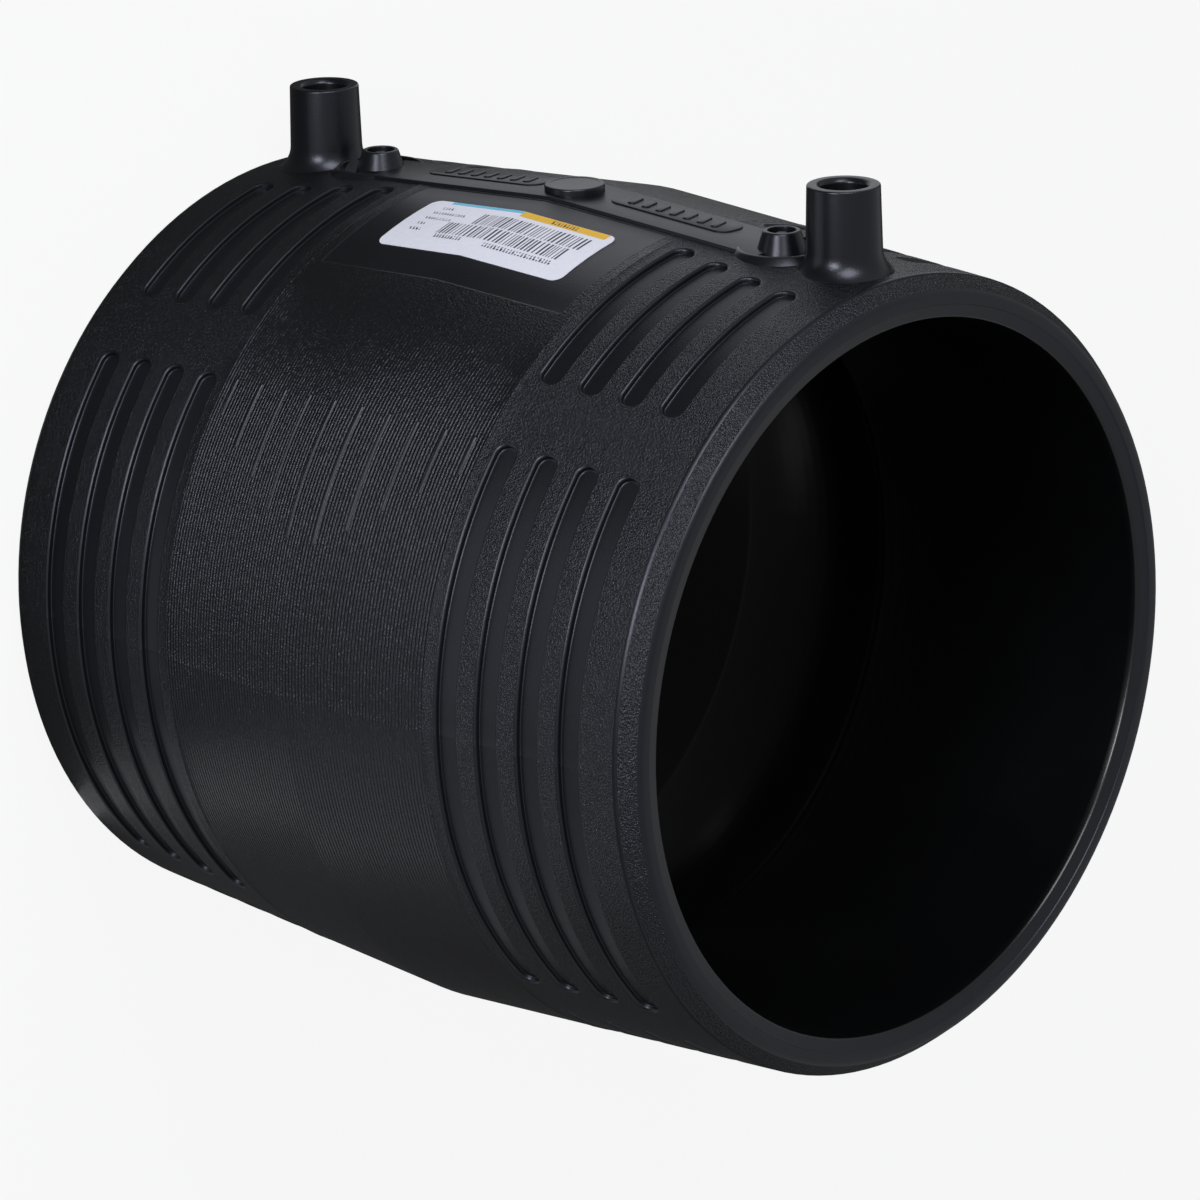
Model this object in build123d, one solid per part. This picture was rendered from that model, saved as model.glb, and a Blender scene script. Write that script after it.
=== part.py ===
"""Electrofusion coupler for 160 mm polyethylene pipe.

The barrel stands on its lower end ring: +Z runs along the barrel, z = 0 is the
ring's flat face, and the two electrical terminals stick out towards -X. An
angle "phi" is counted anticlockwise, seen from above, from the terminals, so
the label side (phi = 10 to 30) and the long rib fields face -Y.
"""

import math
import os

from build123d import *

# ---------------------------------------------------------------- barrel
LENGTH = 198.0          # end ring to end ring
SOCKET_R = 80.6         # socket wall, for a 160 mm pipe
MID_WALL = 15.6         # wall at the middle plane, where the barrel is widest
END_WALL = 9.8          # wall where the taper meets the end chamfer
CHAMFER_AXIAL = 4.45    # end chamfer, along the barrel
CHAMFER_RADIAL = 3.5    # and across it, down to the flat end ring
LIP_RADIAL = 3.1        # bevelled lip between the flat end ring and the mouth
LIP_DROP = 1.0          # from the ring's flat face down to the mouth
STOP_RISE = 0.7         # raised cold zone between the two sockets
STOP_HALF = 20.0        # half its length
STOP_RAMP = 0.7         # its edge bevel, along the barrel

# ---------------------------------------------------------------- cooling grooves
GROOVE_FIRST = 81.5     # centre of the outermost groove, from the middle plane
GROOVE_PITCH = 11.45
GROOVE_COUNT = 4
GROOVE_W = 6.1
GROOVE_D = 1.3
GROOVE_CORNER = 1.7     # bevel at the corners of each groove
UPPER_STARTS = (11.4, 10.4, 9.0, 7.8)   # phi, outermost groove first
UPPER_END = 39.6
FRONT_START = 49.3
FRONT_END = 133.0
BACK_START = 142.8      # the group opposite the terminals runs from here round to its mirror

# ---------------------------------------------------------------- length marks
MARK_PITCH = 8.3
MARK_START = 49.3       # phi
MARK_ENDS = (69.3, 66.4, 62.6, 59.1, 55.3)  # phi, middle pair first
MARK_W = 0.8
MARK_H = 0.3

# ---------------------------------------------------------------- terminals
TERMINAL_Z = 81.0       # from the middle plane
TERMINAL_RISE = 29.2    # rim above the socket wall, as are the next two heights
SHROUD_FOOT_RISE = 12.4  # where the shroud meets its flare
FLARE_RISE = 8.0        # foot of the flare, inside the barrel's wall
SHROUD_TOP_R = 8.1
SHROUD_FOOT_R = 8.5
FLARE_R = 13.2
SOCKET_BORE_R = 5.2     # inside the shroud
SOCKET_DEPTH = 16.0
RIM_EDGE = 0.8          # bevel inside the rim
PIN_R = 2.35            # 4.7 mm contact pin
PIN_BELOW_RIM = 4.5
PIN_TIP = 0.5
SHANK_R = 2.85          # the pin's moulded-in shank
SHANK_COLLAR = 0.8      # how far the shank stands above the socket's floor

# ---------------------------------------------------------------- fusion indicators
INDICATOR_Z = 62.8      # from the middle plane
CONE_RISE = 16.2        # top of the cone above the socket wall, as are the next three heights
COLLAR_RISE = 12.5      # rim round the pocket
COLLAR_FOOT_RISE = 9.2  # foot of that rim, inside the barrel's wall
POCKET_FLOOR_RISE = 9.5
CONE_TOP_R = 4.15
CONE_FOOT_R = 6.4
CONE_HOLE_R = 3.15
CONE_HOLE_DEPTH = 5.0
POCKET_R = 9.3
COLLAR_TOP_R = 10.1
COLLAR_FOOT_R = 13.4
INDICATOR_R = 1.5
INDICATOR_CLEARANCE = 0.05
INDICATOR_BELOW_TOP = 0.7
INDICATOR_TIP = 0.35

# ---------------------------------------------------------------- strip, panels, gate disc
STRIP_HALF_W = 8.5
STRIP_RISE = 0.3        # above the barrel, on the strip's centre line
STRIP_EDGE = 0.25
PANEL_RISE = 0.3
PANEL_LENGTH = 36.0
PANEL_W = 8.6
PANEL_CENTRE = 29.0     # from the middle plane
PANEL_SHIFT = 2.6       # off the strip's centre line, away from the label
DISC_R = 6.9
DISC_RISE = 1.5

# ---------------------------------------------------------------- label
FIELD_HALF = 38.0
FIELD_START = 5.4       # phi
FIELD_END = 28.4
FIELD_D = 0.2
LABEL_LENGTH = 57.0
LABEL_SHIFT = 0.7       # towards the upper end
LABEL_W = 21.0
LABEL_PHI = 16.4
LABEL_T = 0.15
LABEL_GLUE = 0.03       # adhesive under it
LABEL_CORNER = 2.6

# ---------------------------------------------------------------- heating wire
WIRE_W = 1.2
WIRE_COVER = 1.1        # plastic between the socket wall and the wire
WIRE_TURNS = 5          # in each fusion zone
WIRE_CHORDS = 24        # straight runs that make up a turn
WIRE_ZONE = 45.0        # length of each fusion zone

# ---------------------------------------------------------------- derived
MID = LENGTH / 2
MID_R = SOCKET_R + MID_WALL
END_R = SOCKET_R + END_WALL
RING_OUTER_R = END_R - CHAMFER_RADIAL
RING_INNER_R = SOCKET_R + LIP_RADIAL
STOP_R = SOCKET_R - STOP_RISE
TERMINAL_TOP = SOCKET_R + TERMINAL_RISE
SHROUD_FOOT_H = SOCKET_R + SHROUD_FOOT_RISE
FLARE_H = SOCKET_R + FLARE_RISE
CONE_TOP = SOCKET_R + CONE_RISE
COLLAR_TOP = SOCKET_R + COLLAR_RISE
COLLAR_FOOT_H = SOCKET_R + COLLAR_FOOT_RISE
POCKET_FLOOR = SOCKET_R + POCKET_FLOOR_RISE
CHAMFER_Z = MID - CHAMFER_AXIAL
TAPER = (MID_R - END_R) / CHAMFER_Z
TERMINAL_PHI = 180.0    # world angle of phi = 0
SOCKET_FLOOR = TERMINAL_TOP - SOCKET_DEPTH
WIRE_R = SOCKET_R + WIRE_COVER + WIRE_W / 2
SHANK_BOTTOM = WIRE_R + WIRE_W
CONE_HOLE_FLOOR = CONE_TOP - CONE_HOLE_DEPTH
GUIDE_BOTTOM = WIRE_R + WIRE_W


def taper_r(z):
    """Barrel radius at a height z from the middle plane."""
    return MID_R - TAPER * abs(z)


def outward(z):
    """Work plane on the axis whose normal points at the terminals; x runs up the barrel."""
    return Plane(origin=(0, 0, MID + z), x_dir=(0, 0, 1), z_dir=(-1, 0, 0))


def turned(points, phi_from, phi_to):
    """Sweep an (r, z) outline round the barrel between two phi angles; z is from the middle."""
    face = make_face(Polyline(*[(r, 0, MID + z) for r, z in points], close=True))
    body = revolve(face, axis=Axis.Z, revolution_arc=phi_to - phi_from)
    return body.rotate(Axis.Z, TERMINAL_PHI + phi_from)


def on_terminal_axis(points, z):
    """Turn a (radius, height) outline about the terminal direction at height z."""
    face = make_face(Polyline(*[(r, 0, h) for r, h in points], close=True))
    return outward(z) * revolve(face, axis=Axis.Z)


def rod(r, low, high, z):
    """Cylinder along the terminal direction between two heights above the axis."""
    return outward(z) * Pos(0, 0, low) * Cylinder(
        r, high - low, align=(Align.CENTER, Align.CENTER, Align.MIN)
    )


def barrel():
    """Turned shell: sockets, cold zone, lips, end rings and the double taper."""
    upper = [
        (STOP_R, STOP_HALF),
        (SOCKET_R, STOP_HALF + STOP_RAMP),
        (SOCKET_R, MID - LIP_DROP),
        (RING_INNER_R, MID),
        (RING_OUTER_R, MID),
        (END_R, CHAMFER_Z),
    ]
    lower = [(r, -z) for r, z in reversed(upper)]
    outline = upper + [(MID_R, 0)] + lower
    face = make_face(Polyline(*[(r, 0, MID + z) for r, z in outline], close=True))
    return revolve(face, axis=Axis.Z)


def groove(z, phi_from, phi_to):
    """Cutter for one cooling groove: flat floor along the taper, bevelled corners."""
    a, b = z - GROOVE_W / 2, z + GROOVE_W / 2
    over = MID_R + 2
    cutter = turned(
        [
            (taper_r(a) - GROOVE_D, a),
            (over, a),
            (over, b),
            (taper_r(b) - GROOVE_D, b),
        ],
        phi_from,
        phi_to,
    )
    corners = [
        e
        for e in cutter.edges().filter_by(GeomType.LINE)
        if abs((e % 0.5).Z) < 1e-6
    ]
    return chamfer(corners, GROOVE_CORNER)


def grooves():
    """All groove cutters: five groups round the barrel, mirrored about both middle planes."""
    cutters = []
    for i in range(GROOVE_COUNT):
        z = GROOVE_FIRST - i * GROOVE_PITCH
        spans = [
            (UPPER_STARTS[i], UPPER_END),
            (FRONT_START, FRONT_END),
            (BACK_START, 360 - BACK_START),
            (360 - FRONT_END, 360 - FRONT_START),
            (360 - UPPER_END, 360 - UPPER_STARTS[i]),
        ]
        for side in (z, -z):
            cutters += [groove(side, *span) for span in spans]
    return cutters


def length_marks():
    """Raised dashes beside the label, longest at the middle."""
    marks = []
    for i, end in enumerate(MARK_ENDS):
        z = (i + 0.5) * MARK_PITCH
        for side in (z, -z):
            a, b = side - MARK_W / 2, side + MARK_W / 2
            marks.append(
                turned(
                    [
                        (taper_r(a) - 1, a),
                        (taper_r(a) + MARK_H, a),
                        (taper_r(b) + MARK_H, b),
                        (taper_r(b) - 1, b),
                    ],
                    MARK_START,
                    end,
                )
            )
    return marks


def strip():
    """Flat-topped pad between the two indicator pockets, with panels and gate disc."""
    top = taper_r(0) + STRIP_RISE
    end = taper_r(INDICATOR_Z) + STRIP_RISE
    side = Plane.XZ * make_face(
        Polyline(
            (-INDICATOR_Z, COLLAR_FOOT_H - 2),
            (-INDICATOR_Z, end),
            (0, top),
            (INDICATOR_Z, end),
            (INDICATOR_Z, COLLAR_FOOT_H - 2),
            close=True,
        )
    )
    pad = extrude(side, amount=STRIP_HALF_W, both=True)
    long_edges = [
        e
        for e in pad.edges()
        if abs(abs(e.center().Y) - STRIP_HALF_W) < 1e-6 and e.center().Z > end - 1e-6
        and abs((e % 0.5).X) > 0.9
    ]
    pad = chamfer(long_edges, STRIP_EDGE)
    tilt = math.degrees(math.atan(TAPER))
    for sign in (1, -1):
        place = (
            Pos(sign * PANEL_CENTRE, PANEL_SHIFT, taper_r(PANEL_CENTRE) + STRIP_RISE)
            * Rot(0, sign * tilt, 0)
        )
        pad += place * extrude(
            RectangleRounded(PANEL_LENGTH, PANEL_W, PANEL_W / 2 - 0.6),
            amount=PANEL_RISE,
        )
    disc = Pos(0, 0, top - 2) * Cylinder(
        DISC_R, 2 + DISC_RISE, align=(Align.CENTER, Align.CENTER, Align.MIN)
    )
    return outward(0) * (pad + disc)


def shroud(z):
    """Terminal chimney, solid: flare and tapered wall."""
    outline = [
        (0, FLARE_H),
        (FLARE_R, FLARE_H),
        (SHROUD_FOOT_R, SHROUD_FOOT_H),
        (SHROUD_TOP_R, TERMINAL_TOP),
        (0, TERMINAL_TOP),
    ]
    return on_terminal_axis(outline, z)


def shroud_bore(z):
    """Cutter for the terminal socket, with its bevelled mouth, and the shank's seat."""
    mouth = SOCKET_BORE_R + RIM_EDGE
    return on_terminal_axis(
        [
            (0, SHANK_BOTTOM),
            (SHANK_R, SHANK_BOTTOM),
            (SHANK_R, SOCKET_FLOOR),
            (SOCKET_BORE_R, SOCKET_FLOOR),
            (SOCKET_BORE_R, TERMINAL_TOP - RIM_EDGE),
            (mouth, TERMINAL_TOP),
            (mouth, TERMINAL_TOP + 1),
            (0, TERMINAL_TOP + 1),
        ],
        z,
    )


def indicator_boss(z):
    """Truncated cone that holds the indicator pin, without its holes."""
    outline = [
        (0, POCKET_FLOOR - 1),
        (CONE_FOOT_R, POCKET_FLOOR - 1),
        (CONE_FOOT_R, POCKET_FLOOR),
        (CONE_TOP_R, CONE_TOP),
        (0, CONE_TOP),
    ]
    return on_terminal_axis(outline, z)


def collar(z):
    """Raised rim round an indicator pocket."""
    return on_terminal_axis(
        [
            (0, COLLAR_FOOT_H),
            (COLLAR_FOOT_R, COLLAR_FOOT_H),
            (COLLAR_TOP_R, COLLAR_TOP),
            (0, COLLAR_TOP),
        ],
        z,
    )


def coupler_body():
    """The moulded body in one piece."""
    body = barrel() - grooves()
    body -= turned(
        [
            (taper_r(FIELD_HALF) - FIELD_D, -FIELD_HALF),
            (MID_R - FIELD_D, 0),
            (taper_r(FIELD_HALF) - FIELD_D, FIELD_HALF),
            (MID_R + 2, FIELD_HALF),
            (MID_R + 2, -FIELD_HALF),
        ],
        FIELD_START,
        FIELD_END,
    )
    body += length_marks()
    body += strip()
    for z in (INDICATOR_Z, -INDICATOR_Z):
        body += collar(z)
        body -= rod(POCKET_R, POCKET_FLOOR, TERMINAL_TOP, z)
        body += indicator_boss(z)
    for z in (TERMINAL_Z, -TERMINAL_Z):
        body += shroud(z)
        body -= shroud_bore(z)
    for z in (INDICATOR_Z, -INDICATOR_Z):
        body -= rod(CONE_HOLE_R, CONE_HOLE_FLOOR, TERMINAL_TOP, z)
        body -= rod(
            INDICATOR_R + INDICATOR_CLEARANCE, GUIDE_BOTTOM, CONE_HOLE_FLOOR + 1, z
        )
    return body


def terminal_pin(z):
    """Contact pin with its moulded-in shank."""
    tip = TERMINAL_TOP - PIN_BELOW_RIM
    return on_terminal_axis(
        [
            (0, SHANK_BOTTOM),
            (SHANK_R, SHANK_BOTTOM),
            (SHANK_R, SOCKET_FLOOR + SHANK_COLLAR),
            (PIN_R, SOCKET_FLOOR + SHANK_COLLAR),
            (PIN_R, tip - PIN_TIP),
            (PIN_R - PIN_TIP, tip),
            (0, tip),
        ],
        z,
    )


def indicator_pin(z):
    """Pin that the melt pushes outwards when the joint is fused."""
    top = CONE_TOP - INDICATOR_BELOW_TOP
    bottom = GUIDE_BOTTOM + INDICATOR_CLEARANCE
    return on_terminal_axis(
        [
            (0, bottom),
            (INDICATOR_R, bottom),
            (INDICATOR_R, top - INDICATOR_TIP),
            (INDICATOR_R - INDICATOR_TIP, top),
            (0, top),
        ],
        z,
    )


def zone_turns(start):
    """Points along one wound fusion zone, from a height above the lower end ring."""
    steps = WIRE_TURNS * WIRE_CHORDS
    points = []
    for i in range(steps + 1):
        angle = 2 * math.pi * i / WIRE_CHORDS
        points.append(
            (
                -WIRE_R * math.cos(angle),
                -WIRE_R * math.sin(angle),
                start + WIRE_ZONE * i / steps,
            )
        )
    return points


def heating_wire():
    """One wire: a lead at each terminal, two wound fusion zones and the bridge between."""
    low = MID - TERMINAL_Z
    high = MID + TERMINAL_Z
    route = [
        (-SHANK_BOTTOM, 0, low),
        *zone_turns(low),
        *zone_turns(high - WIRE_ZONE),
        (-SHANK_BOTTOM, 0, high),
    ]
    section = Plane(origin=route[0], x_dir=(0, 0, 1), z_dir=(1, 0, 0)) * Rectangle(
        WIRE_W, WIRE_W
    )
    return sweep(section, path=Polyline(*route), transition=Transition.RIGHT)


def label():
    """Thin label laid over the middle edge of the field."""
    low = LABEL_GLUE - FIELD_D
    high = low + LABEL_T
    top = LABEL_SHIFT + LABEL_LENGTH / 2
    bottom = LABEL_SHIFT - LABEL_LENGTH / 2
    spread = math.degrees(LABEL_W / MID_R)
    sheet = turned(
        [
            (taper_r(bottom) + low, bottom),
            (MID_R + low, 0),
            (taper_r(top) + low, top),
            (taper_r(top) + high, top),
            (MID_R + high, 0),
            (taper_r(bottom) + high, bottom),
        ],
        LABEL_PHI - spread,
        LABEL_PHI + spread,
    )
    outline = extrude(
        RectangleRounded(LABEL_LENGTH, LABEL_W, LABEL_CORNER), amount=2 * MID_R
    )
    return sheet & (outward(LABEL_SHIFT) * outline).rotate(Axis.Z, LABEL_PHI)


def main():
    """Build every piece and write one STEP file for each."""
    pieces = {
        "coupler_body": coupler_body(),
        "label": label(),
        "heating_wire": heating_wire(),
        "terminal_pin_lower": terminal_pin(-TERMINAL_Z),
        "terminal_pin_upper": terminal_pin(TERMINAL_Z),
        "fusion_indicator_lower": indicator_pin(-INDICATOR_Z),
        "fusion_indicator_upper": indicator_pin(INDICATOR_Z),
    }
    os.makedirs("parts", exist_ok=True)
    for name, shape in pieces.items():
        export_step(shape, f"parts/{name}.step")
        print(name, len(shape.solids()), round(shape.volume, 1), shape.bounding_box())


if __name__ == "__main__":
    main()
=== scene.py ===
"""Looks of an electrofusion coupler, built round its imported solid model.

The moulding is made the way its cooling grooves repeat: the outer wall is laid out flat, the grooves, marks
and label field are sunk or raised in the flat sheet, and the sheet is then rolled up into the barrel. The
terminals, indicator pockets, strip and label follow as their own small shells.

Sizes are in millimetres until a mesh is placed, and metres after that.
"""

import logging
import math
import random
from dataclasses import dataclass, field
from enum import Enum

import bmesh
import bpy
from mathutils import Euler, Matrix, Vector


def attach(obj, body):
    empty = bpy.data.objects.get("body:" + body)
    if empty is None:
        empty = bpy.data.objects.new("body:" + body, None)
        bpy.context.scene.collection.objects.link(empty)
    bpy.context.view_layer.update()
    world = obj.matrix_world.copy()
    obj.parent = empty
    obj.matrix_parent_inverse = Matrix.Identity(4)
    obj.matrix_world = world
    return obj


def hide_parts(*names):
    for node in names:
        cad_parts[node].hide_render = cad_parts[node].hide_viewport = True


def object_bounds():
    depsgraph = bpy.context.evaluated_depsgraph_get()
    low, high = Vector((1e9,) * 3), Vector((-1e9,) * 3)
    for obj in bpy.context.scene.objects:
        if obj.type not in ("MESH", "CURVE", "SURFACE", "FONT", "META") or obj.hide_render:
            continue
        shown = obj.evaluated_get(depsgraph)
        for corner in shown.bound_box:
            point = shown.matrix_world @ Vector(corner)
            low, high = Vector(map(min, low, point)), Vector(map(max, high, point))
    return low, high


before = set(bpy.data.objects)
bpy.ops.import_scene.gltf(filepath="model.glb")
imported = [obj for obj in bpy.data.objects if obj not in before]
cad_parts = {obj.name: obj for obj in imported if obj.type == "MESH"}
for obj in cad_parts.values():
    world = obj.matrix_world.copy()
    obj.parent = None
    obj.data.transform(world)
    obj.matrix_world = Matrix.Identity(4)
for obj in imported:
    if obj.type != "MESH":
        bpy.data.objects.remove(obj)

LOG = logging.getLogger("coupler")
MM = 0.001
CAD_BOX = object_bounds()
Outline = list[tuple[float, float]]


class Body(Enum):
    """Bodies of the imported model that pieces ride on."""

    FITTING = "fitting"


class Slot(Enum):
    """Material slots that the record names."""

    BODY = "body_plastic"
    LABEL = "label_film"


class Skin(Enum):
    """Surface zones of the moulding, in the order of its material slots."""

    LAND = 0
    COMBED = 1
    SMOOTH = 2
    BORE = 3
    POLISHED = 4


# ---------------------------------------------------------------- shader maths


class Wire:
    """A node socket that can be used in Python expressions."""

    def __init__(self, tree: bpy.types.NodeTree, socket: bpy.types.NodeSocket) -> None:
        """Wrap an output socket.

        Args:
            tree: The node tree that the socket belongs to.
            socket: The output to wrap.
        """
        self.tree = tree
        self.socket = socket

    def _math(self, operation: str, *values: "Wire | float") -> "Wire":
        """Add a Math node.

        Args:
            operation: The node's operation.
            values: Its inputs, in order.

        Returns:
            The node's result.
        """
        node = self.tree.nodes.new("ShaderNodeMath")
        node.operation = operation
        for slot, value in zip(node.inputs, values):
            if isinstance(value, Wire):
                self.tree.links.new(value.socket, slot)
            else:
                slot.default_value = value
        return Wire(self.tree, node.outputs[0])

    def __add__(self, other: "Wire | float") -> "Wire":
        """Sum."""
        return self._math("ADD", self, other)

    __radd__ = __add__

    def __mul__(self, other: "Wire | float") -> "Wire":
        """Product."""
        return self._math("MULTIPLY", self, other)

    __rmul__ = __mul__

    def sine(self) -> "Wire":
        """Sine of the value in radians."""
        return self._math("SINE", self)


class Finish:
    """A material under construction, with one Principled shader."""

    def __init__(self, name: str) -> None:
        """Start an empty material.

        Args:
            name: The material's name.
        """
        self.material = bpy.data.materials.new(name)
        self.material.use_nodes = True
        self.tree = self.material.node_tree
        self.tree.nodes.clear()
        self.shader = self.tree.nodes.new("ShaderNodeBsdfPrincipled")
        output = self.tree.nodes.new("ShaderNodeOutputMaterial")
        self.tree.links.new(self.shader.outputs[0], output.inputs["Surface"])

    def node(self, kind: str, out: str | int = 0, settings: dict | None = None, **inputs: object) -> Wire:
        """Add any node.

        Args:
            kind: The node's type.
            out: Which output to return.
            settings: Node properties, set before its inputs; "stops" fills a colour ramp.
            inputs: Values or wires by socket name, with underscores for spaces.

        Returns:
            The chosen output.
        """
        made = self.tree.nodes.new(kind)
        for key, value in (settings or {}).items():
            if key == "stops":
                self._fill_ramp(made.color_ramp, value)
            else:
                setattr(made, key, value)
        for key, value in inputs.items():
            socket = made.inputs[key.replace("_", " ")]
            if isinstance(value, Wire):
                self.tree.links.new(value.socket, socket)
            else:
                socket.default_value = value
        return Wire(self.tree, made.outputs[out])

    @staticmethod
    def _fill_ramp(ramp: bpy.types.ColorRamp, stops: list[tuple[float, tuple]]) -> None:
        """Set a colour ramp's stops.

        Args:
            ramp: The ramp.
            stops: Position and colour of each stop.
        """
        while len(ramp.elements) < len(stops):
            ramp.elements.new(1.0)
        for element, (position, colour) in zip(ramp.elements, stops):
            element.position = position
            element.color = colour

    def position(self) -> Wire:
        """Object coordinates as a vector."""
        return self.node("ShaderNodeTexCoord", "Object")

    def axis(self, letter: str) -> Wire:
        """One of the object coordinates.

        Args:
            letter: X, Y or Z.

        Returns:
            That coordinate in metres.
        """
        return self.node("ShaderNodeSeparateXYZ", letter, Vector=self.position())

    def noise(self, scale: float, detail: float = 2.0, roughness: float = 0.5) -> Wire:
        """Noise on object coordinates.

        Args:
            scale: Cells per metre.
            detail: Octaves.
            roughness: Weight of the finer octaves.

        Returns:
            The noise, from 0 to 1.
        """
        place = self.position()
        return self.node(
            "ShaderNodeTexNoise", "Fac", Vector=place, Scale=scale, Detail=detail, Roughness=roughness
        )

    def ramp(self, value: Wire, *stops: tuple[float, tuple]) -> Wire:
        """Colour ramp over a value.

        Args:
            value: What drives it.
            stops: Position and colour of each stop.

        Returns:
            The colour.
        """
        return self.node("ShaderNodeValToRGB", 0, {"stops": list(stops)}, Fac=value)

    def link(self, socket: str, wire: Wire) -> None:
        """Feed one of the shader's sockets.

        Args:
            socket: The socket's name.
            wire: What feeds it.
        """
        self.tree.links.new(wire.socket, self.shader.inputs[socket])

    def set(self, **values: object) -> None:
        """Set constants on the shader, with underscores for spaces."""
        for key, value in values.items():
            self.shader.inputs[key.replace("_", " ")].default_value = value

    def bump(self, height: Wire, distance: float, strength: float = 1.0) -> None:
        """Feed the shader's normal from a height.

        Args:
            height: Height, from 0 to 1.
            distance: What a height of 1 stands for, in metres.
            strength: How much of it shows.
        """
        bent = self.node("ShaderNodeBump", 0, None, Strength=strength, Distance=distance, Height=height)
        self.link("Normal", bent)


def grey_blue(level: float, blue: float = 0.0) -> tuple[float, float, float, float]:
    """Colour of a near-neutral tone.

    Args:
        level: Brightness of its red.
        blue: How far blue stands above red.

    Returns:
        The colour.
    """
    return (level, level * (1 + blue * 0.4), level * (1 + blue), 1.0)


@dataclass(frozen=True)
class BlackPolyethylene:
    """Black pipe-grade polyethylene as it leaves a mould."""

    name: str
    tone: float = 0.0042
    blue: float = 0.36
    roughness: float = 0.42
    grain_depth: float = 0.0
    grain_cells: float = 2000.0
    comb_depth: float = 0.0
    comb_pitch: float = 0.00095
    flow_depth: float = 0.000008

    def build(self) -> bpy.types.Material:
        """Make the material.

        Returns:
            The finished material.
        """
        finish = Finish(self.name)
        clouds = finish.noise(28.0, 4.0, 0.6)
        finish.link(
            "Base Color",
            finish.ramp(
                clouds,
                (0.30, grey_blue(self.tone * 0.82, self.blue)),
                (0.70, grey_blue(self.tone * 1.18, self.blue)),
            ),
        )
        wear = finish.noise(160.0, 3.0, 0.65)
        finish.link("Roughness", wear * 0.05 + clouds * 0.03 + (self.roughness - 0.04))
        finish.set(IOR=1.51, Specular_Tint=(0.84, 0.87, 1.0, 1.0))
        height = finish.noise(70.0, 2.0) * self.flow_depth
        if self.grain_depth:
            coarse = finish.noise(self.grain_cells, 2.0, 0.55)
            height = height + coarse * self.grain_depth
        if self.comb_depth:
            sway = finish.noise(90.0, 2.0) * 1.6
            lines = (finish.axis("Z") * (2 * math.pi / self.comb_pitch) + sway).sine()
            below_label = finish.node(
                "ShaderNodeMapRange", 0, None, Value=finish.axis("X"), From_Min=-0.080, From_Max=-0.054
            )
            height = height + lines * (self.comb_depth * 0.5) * (below_label * 0.9 + 0.1)
        finish.bump(height * (1 / MM), MM)
        return finish.material


@dataclass(frozen=True)
class PolishedBore:
    """The moulded bore: glossy, with faint rings left by the core and the wire under the surface."""

    name: str
    tone: float = 0.0024
    roughness: float = 0.24
    ring_pitch: float = 0.0032
    ring_depth: float = 0.0000035

    def build(self) -> bpy.types.Material:
        """Make the material.

        Returns:
            The finished material.
        """
        finish = Finish(self.name)
        clouds = finish.noise(22.0, 3.0, 0.6)
        dark = grey_blue(self.tone * 0.8, 0.25)
        light = grey_blue(self.tone * 1.2, 0.25)
        finish.link("Base Color", finish.ramp(clouds, (0.3, dark), (0.7, light)))
        finish.link("Roughness", clouds * 0.12 + (self.roughness - 0.06))
        finish.set(IOR=1.51)
        rings = (finish.axis("Z") * (2 * math.pi / self.ring_pitch)).sine()
        ripple = finish.noise(120.0, 2.0)
        finish.bump((rings * self.ring_depth + ripple * (self.ring_depth * 6)) * (1 / MM), MM)
        return finish.material


@dataclass(frozen=True)
class TurnedMetal:
    """Drawn or turned metal with fine tool marks."""

    name: str
    colour: tuple[float, float, float, float]
    roughness: float = 0.28

    def build(self) -> bpy.types.Material:
        """Make the material.

        Returns:
            The finished material.
        """
        finish = Finish(self.name)
        dull = finish.noise(300.0, 3.0)
        dark = tuple(channel * 0.7 for channel in self.colour[:3]) + (1.0,)
        finish.link("Base Color", finish.ramp(dull, (0.3, dark), (0.7, self.colour)))
        finish.link("Roughness", dull * 0.14 + (self.roughness - 0.07))
        finish.set(Metallic=1.0)
        finish.bump((finish.axis("X") * 26000.0).sine() * 0.5 + dull, 0.000006)
        return finish.material


@dataclass(frozen=True)
class PrintedFilm:
    """Satin film or ink on it."""

    name: str
    colour: tuple[float, float, float, float]
    roughness: float = 0.42

    def build(self) -> bpy.types.Material:
        """Make the material.

        Returns:
            The finished material.
        """
        finish = Finish(self.name)
        fibre = finish.noise(900.0, 3.0, 0.6)
        shade = tuple(channel * 0.955 for channel in self.colour[:3]) + (1.0,)
        finish.link("Base Color", finish.ramp(fibre, (0.35, shade), (0.65, self.colour)))
        finish.link("Roughness", fibre * 0.12 + (self.roughness - 0.06))
        finish.bump(finish.noise(55.0, 2.0) * 0.6 + fibre * 0.05, 0.00006)
        return finish.material


# ---------------------------------------------------------------- mesh helpers


def put_in_scene(
    bm: bmesh.types.BMesh, name: str, body: Body, sharp: float = 38.0
) -> bpy.types.Object:
    """Turn a finished bmesh into a piece of the object.

    Args:
        bm: The mesh, in metres and in place. It is freed.
        name: The piece's name.
        body: The body that it rides on.
        sharp: Edges that turn by more than this stay crisp, in degrees.

    Returns:
        The piece.
    """
    limit = math.radians(sharp)
    for edge in bm.edges:
        edge.smooth = len(edge.link_faces) != 2 or edge.calc_face_angle(0.0) < limit
    for face in bm.faces:
        face.smooth = True
    mesh = bpy.data.meshes.new(name)
    bm.to_mesh(mesh)
    bm.free()
    piece = bpy.data.objects.new(name, mesh)
    bpy.context.scene.collection.objects.link(piece)
    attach(piece, body.value)
    LOG.info("%s: %d faces", name, len(mesh.polygons))
    return piece


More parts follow.
